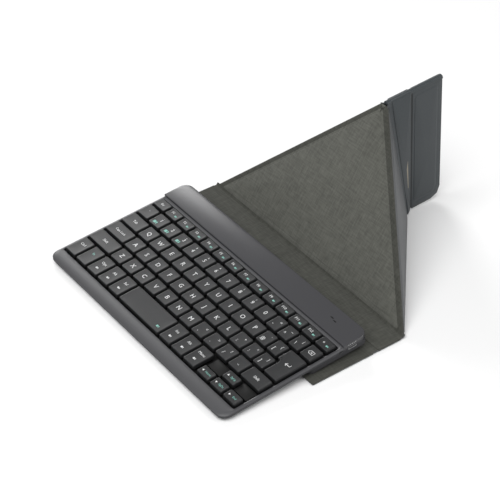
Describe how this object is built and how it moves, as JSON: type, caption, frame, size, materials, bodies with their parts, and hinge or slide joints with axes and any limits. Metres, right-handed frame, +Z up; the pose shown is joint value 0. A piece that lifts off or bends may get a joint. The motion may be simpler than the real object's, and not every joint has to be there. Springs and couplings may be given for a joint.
{
  "type": "tablet keyboard case",
  "caption": "Slim wireless keyboard fixed to a leather folding cover whose rear panels fold into a Y-shaped stand that props up a tablet.",
  "frame": {"origin": "middle of the base panel's underside, on the table", "axes": "+X to the right of the typist, +Y from the typist to the rear, +Z up"},
  "size_m": [0.246, 0.3097, 0.1251],
  "materials": {
    "keys": "fine matt, printed legends",
    "lining": "short microfibre nap",
    "smooth_leather": "smooth fine grain",
    "leather": "fine pebble grain",
    "board": "plain board",
    "case_plastic": "fine texture",
    "deck_plastic": "satin",
    "bar_plastic": "satin gloss",
    "steel": "rolled",
    "film": "clear film",
    "dome_rubber": "silicone",
    "scissor_plastic": "moulded",
    "circuit": "solder mask",
    "battery_foil": "foil pouch",
    "port_steel": "plated",
    "switch_plastic": "moulded",
    "lens": "clear",
    "screw_steel": "black plated",
    "foot_rubber": "matt",
    "tape": "foam tape",
    "magnet": "nickel plated"
  },
  "bodies": {
    "base": {"bottom_case": "case_plastic", "top_case": "deck_plastic", "control_bar": "bar_plastic", "arrow_fillers": "deck_plastic", "key_plate": "steel", "membrane": "film", "rubber_domes": "dome_rubber", "key_scissors": "scissor_plastic", "circuit_board": "circuit", "battery": "battery_foil", "usb_port": "port_steel", "led_window": "lens", "case_screws": "screw_steel", "rubber_feet": "foot_rubber", "mounting_strip": "tape", "base_leather": "leather", "base_board": "board", "base_lining": "lining"},
    "spine": {"spine_leather": "leather", "spine_board": "board", "spine_lining": "lining"},
    "stand_front": {"front_leather": "leather", "front_board": "board", "front_lining": "lining"},
    "right_wing": {"right_wing_leather": "leather", "right_wing_board": "board", "right_wing_lining": "smooth_leather"},
    "right_fin": {"right_fin_leather": "leather", "right_fin_board": "board", "right_fin_lining": "smooth_leather"},
    "right_flap": {"right_flap": "smooth_leather", "right_flap_magnets": "magnet"},
    "left_wing": {"left_wing_leather": "leather", "left_wing_board": "board", "left_wing_lining": "smooth_leather"},
    "left_fin": {"left_fin_leather": "leather", "left_fin_board": "board", "left_fin_lining": "smooth_leather"},
    "left_flap": {"left_flap": "smooth_leather", "left_flap_magnets": "magnet"},
    "power_switch": {"power_switch": "switch_plastic"},
    "function_keys": {"function_keys": "keys"},
    "digit_keys": {"digit_keys": "keys"},
    "upper_letter_keys": {"upper_letter_keys": "keys"},
    "home_letter_keys": {"home_letter_keys": "keys"},
    "lower_letter_keys": {"lower_letter_keys": "keys"},
    "modifier_keys": {"modifier_keys": "keys"},
    "escape_key": {"escape_key": "keys"},
    "backspace_key": {"backspace_key": "keys"},
    "tab_key": {"tab_key": "keys"},
    "caps_key": {"caps_key": "keys"},
    "enter_key": {"enter_key": "keys"},
    "left_shift_key": {"left_shift_key": "keys"},
    "right_shift_key": {"right_shift_key": "keys"},
    "space_bar": {"space_bar": "keys"},
    "up_key": {"up_key": "keys"},
    "down_key": {"down_key": "keys"},
    "left_key": {"left_key": "keys"},
    "right_key": {"right_key": "keys"}
  },
  "joints": [
    {"name": "spine_fold", "type": "hinge", "parent": "base", "child": "spine", "pos_m": [0, 0.03073, 0.0012], "axis": [1, 0, 0], "range_deg": [0, 90]},
    {"name": "stand_lean", "type": "hinge", "parent": "spine", "child": "stand_front", "pos_m": [0, 0.05823, 0.0012], "axis": [1, 0, 0], "range_deg": [-57, 33]},
    {"name": "right_wing_fold", "type": "hinge", "parent": "stand_front", "child": "right_wing", "pos_m": [0.123, 0.05823, 0.0012], "axis": [0.6454, -0.416, -0.6406], "range_deg": [0, 125.79]},
    {"name": "left_wing_fold", "type": "hinge", "parent": "stand_front", "child": "left_wing", "pos_m": [-0.123, 0.05823, 0.0012], "axis": [0.6454, 0.416, 0.6406], "range_deg": [0, 125.79]},
    {"name": "right_fin_fold", "type": "hinge", "parent": "right_wing", "child": "right_fin", "pos_m": [0.0016, 0.15523, 0.0012], "axis": [0, -0.1536, 0.9881], "range_deg": [0, 51.71]},
    {"name": "left_fin_fold", "type": "hinge", "parent": "left_wing", "child": "left_fin", "pos_m": [-0.0016, 0.15523, 0.0012], "axis": [0, 0.1536, -0.9881], "range_deg": [0, 51.71]},
    {"name": "right_flap_fold", "type": "hinge", "parent": "right_fin", "child": "right_flap", "pos_m": [0.0016, 0.16851, 0.00197], "axis": [0, 0.0582, -0.9983], "range_deg": [0, 110]},
    {"name": "left_flap_fold", "type": "hinge", "parent": "left_fin", "child": "left_flap", "pos_m": [-0.0016, 0.16851, 0.00197], "axis": [0, -0.0582, 0.9983], "range_deg": [0, 110]},
    {"name": "function_keys_press", "type": "slide", "parent": "base", "child": "function_keys", "axis": [0, 0.0698, -0.9976], "range_m": [0, 0.0012], "stiffness_N_per_m": 300, "springref_m": -0.0005},
    {"name": "digit_keys_press", "type": "slide", "parent": "base", "child": "digit_keys", "axis": [0, 0.0698, -0.9976], "range_m": [0, 0.0012], "stiffness_N_per_m": 300, "springref_m": -0.0005},
    {"name": "upper_letter_keys_press", "type": "slide", "parent": "base", "child": "upper_letter_keys", "axis": [0, 0.0698, -0.9976], "range_m": [0, 0.0012], "stiffness_N_per_m": 300, "springref_m": -0.0005},
    {"name": "home_letter_keys_press", "type": "slide", "parent": "base", "child": "home_letter_keys", "axis": [0, 0.0698, -0.9976], "range_m": [0, 0.0012], "stiffness_N_per_m": 300, "springref_m": -0.0005},
    {"name": "lower_letter_keys_press", "type": "slide", "parent": "base", "child": "lower_letter_keys", "axis": [0, 0.0698, -0.9976], "range_m": [0, 0.0012], "stiffness_N_per_m": 300, "springref_m": -0.0005},
    {"name": "modifier_keys_press", "type": "slide", "parent": "base", "child": "modifier_keys", "axis": [0, 0.0698, -0.9976], "range_m": [0, 0.0012], "stiffness_N_per_m": 300, "springref_m": -0.0005},
    {"name": "escape_key_press", "type": "slide", "parent": "base", "child": "escape_key", "axis": [0, 0.0698, -0.9976], "range_m": [0, 0.0012], "stiffness_N_per_m": 150, "springref_m": -0.0005},
    {"name": "backspace_key_press", "type": "slide", "parent": "base", "child": "backspace_key", "axis": [0, 0.0698, -0.9976], "range_m": [0, 0.0012], "stiffness_N_per_m": 150, "springref_m": -0.0005},
    {"name": "tab_key_press", "type": "slide", "parent": "base", "child": "tab_key", "axis": [0, 0.0698, -0.9976], "range_m": [0, 0.0012], "stiffness_N_per_m": 150, "springref_m": -0.0005},
    {"name": "caps_key_press", "type": "slide", "parent": "base", "child": "caps_key", "axis": [0, 0.0698, -0.9976], "range_m": [0, 0.0012], "stiffness_N_per_m": 150, "springref_m": -0.0005},
    {"name": "enter_key_press", "type": "slide", "parent": "base", "child": "enter_key", "axis": [0, 0.0698, -0.9976], "range_m": [0, 0.0012], "stiffness_N_per_m": 150, "springref_m": -0.0005},
    {"name": "left_shift_key_press", "type": "slide", "parent": "base", "child": "left_shift_key", "axis": [0, 0.0698, -0.9976], "range_m": [0, 0.0012], "stiffness_N_per_m": 150, "springref_m": -0.0005},
    {"name": "right_shift_key_press", "type": "slide", "parent": "base", "child": "right_shift_key", "axis": [0, 0.0698, -0.9976], "range_m": [0, 0.0012], "stiffness_N_per_m": 150, "springref_m": -0.0005},
    {"name": "space_bar_press", "type": "slide", "parent": "base", "child": "space_bar", "axis": [0, 0.0698, -0.9976], "range_m": [0, 0.0012], "stiffness_N_per_m": 150, "springref_m": -0.0005},
    {"name": "up_key_press", "type": "slide", "parent": "base", "child": "up_key", "axis": [0, 0.0698, -0.9976], "range_m": [0, 0.0012], "stiffness_N_per_m": 150, "springref_m": -0.0005},
    {"name": "down_key_press", "type": "slide", "parent": "base", "child": "down_key", "axis": [0, 0.0698, -0.9976], "range_m": [0, 0.0012], "stiffness_N_per_m": 150, "springref_m": -0.0005},
    {"name": "left_key_press", "type": "slide", "parent": "base", "child": "left_key", "axis": [0, 0.0698, -0.9976], "range_m": [0, 0.0012], "stiffness_N_per_m": 150, "springref_m": -0.0005},
    {"name": "right_key_press", "type": "slide", "parent": "base", "child": "right_key", "axis": [0, 0.0698, -0.9976], "range_m": [0, 0.0012], "stiffness_N_per_m": 150, "springref_m": -0.0005},
    {"name": "power_switch_slide", "type": "slide", "parent": "base", "child": "power_switch", "axis": [0, 0.9976, 0.0698], "range_m": [0, 0.0015]}
  ],
  "couplings": [
    {"joint": "left_wing_fold", "follows": "right_wing_fold", "ratio": 1},
    {"joint": "right_fin_fold", "follows": "right_wing_fold", "ratio": 0.41107},
    {"joint": "left_fin_fold", "follows": "right_wing_fold", "ratio": 0.41107},
    {"joint": "left_flap_fold", "follows": "right_flap_fold", "ratio": 1}
  ]
}
